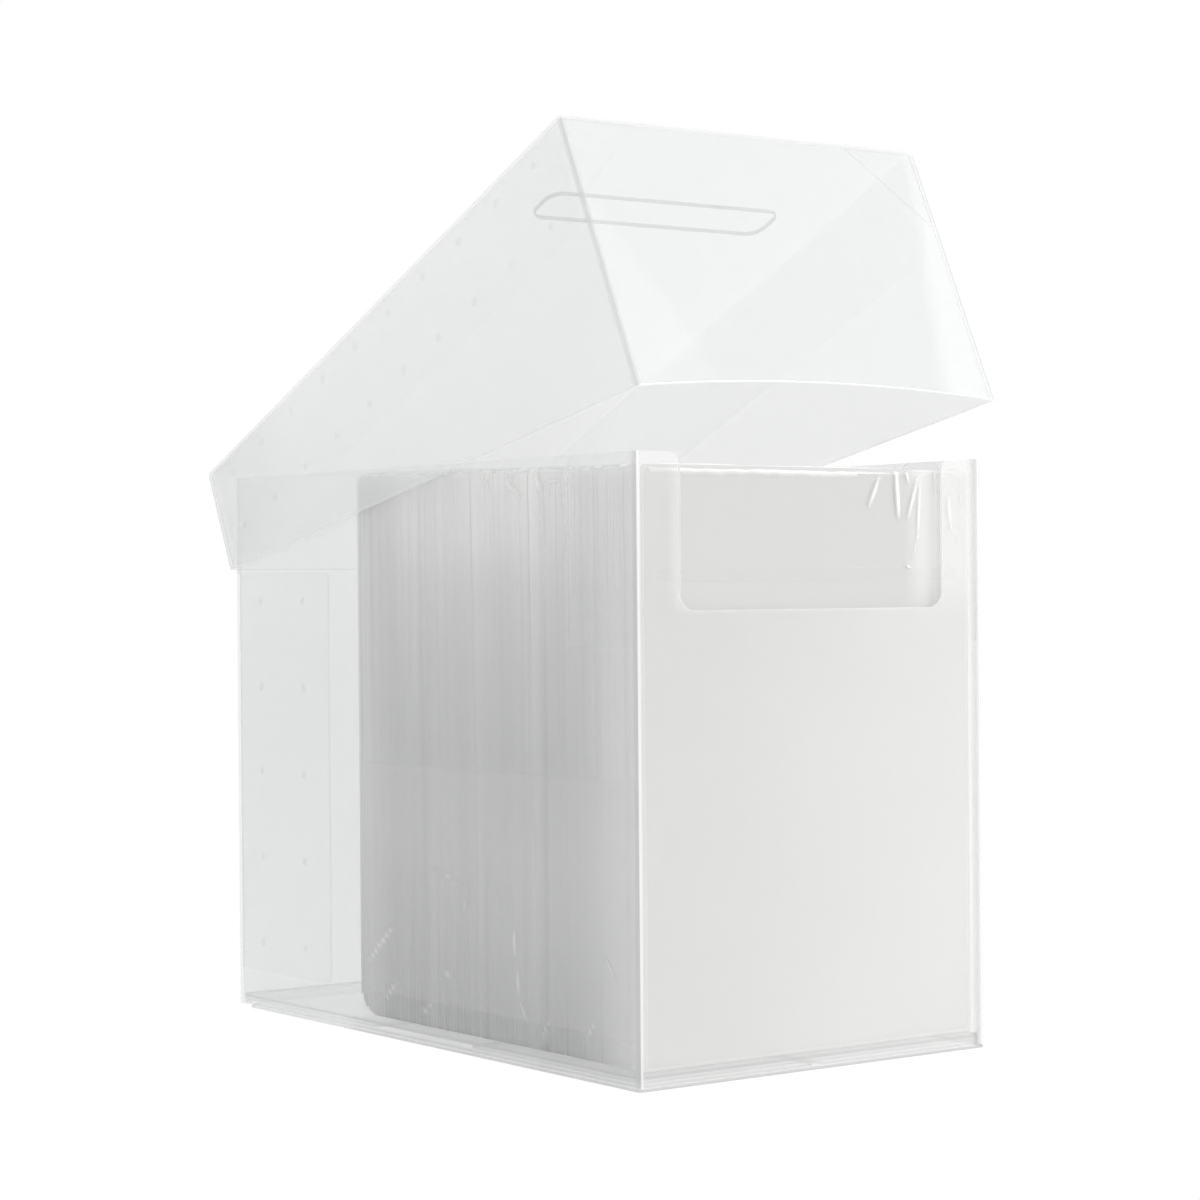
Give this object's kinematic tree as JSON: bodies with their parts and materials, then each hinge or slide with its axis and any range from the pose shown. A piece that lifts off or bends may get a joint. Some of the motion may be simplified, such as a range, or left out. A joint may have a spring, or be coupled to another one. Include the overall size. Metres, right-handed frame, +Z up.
{
  "type": "card deck box",
  "caption": "Folded clear plastic card box with a deep lid on a living hinge, a thumb notch in its front wall and a film-wrapped pack of card sleeves that slides inside.",
  "frame": {"origin": "middle of the underside of the box, on the surface that it stands on", "axes": "+Z up, the front wall with the notch faces -Y, +X to the right as seen from the front; the lid's hinge runs along X at the back"},
  "size_m": [0.0732, 0.1323, 0.1486],
  "materials": {
    "clear_sheet": "clear folded sheet with a soft frosted sheen",
    "clear_flap": "clear folded sheet, seen through the wall in front of it",
    "creased_sheet": "whitened along the crease",
    "sleeve_plastic": "edges of stacked clear sleeves, grey and streaked",
    "wrap_film": "thin glossy film with small wrinkles"
  },
  "bodies": {
    "box": {"bottom_panel": "clear_sheet", "bottom_flap_left": "clear_flap", "bottom_flap_right": "clear_flap", "bottom_flap_front": "clear_flap", "bottom_flap_back": "clear_flap", "floor_pad": "clear_flap", "front_panel": "clear_sheet", "left_side_panel": "clear_sheet", "right_side_panel": "clear_sheet", "back_panel": "clear_sheet", "back_flap_left": "clear_flap", "back_flap_right": "clear_flap", "front_tab_left": "clear_flap", "front_tab_right": "clear_flap", "hinge_crease": "creased_sheet"},
    "sleeve_pack": {"sleeve_bundle_1": "sleeve_plastic", "sleeve_bundle_2": "sleeve_plastic", "sleeve_bundle_3": "sleeve_plastic", "sleeve_bundle_4": "sleeve_plastic", "sleeve_bundle_5": "sleeve_plastic", "sleeve_bundle_6": "sleeve_plastic", "sleeve_bundle_7": "sleeve_plastic", "sleeve_bundle_8": "sleeve_plastic", "sleeve_bundle_9": "sleeve_plastic", "film_wrap": "wrap_film", "film_lap_left": "wrap_film", "film_lap_right": "wrap_film", "film_seam": "wrap_film"},
    "lid": {"lid_top_panel": "clear_sheet", "lid_front_panel": "clear_sheet", "lid_back_panel": "clear_sheet", "lid_left_panel": "clear_sheet", "lid_right_panel": "clear_sheet", "lid_flap_left": "clear_flap", "lid_flap_right": "clear_flap", "lid_corner_tab_left": "clear_flap", "lid_corner_tab_right": "clear_flap"}
  },
  "joints": [
    {"name": "lid_hinge", "type": "hinge", "parent": "box", "child": "lid", "pos_m": [0, 0.06075, 0.079], "axis": [-1, 0, 0], "range_deg": [-24.5, 145.5]},
    {"name": "pack_slide", "type": "slide", "parent": "box", "child": "sleeve_pack", "axis": [0, 1, 0], "range_m": [0, 0.037]}
  ]
}
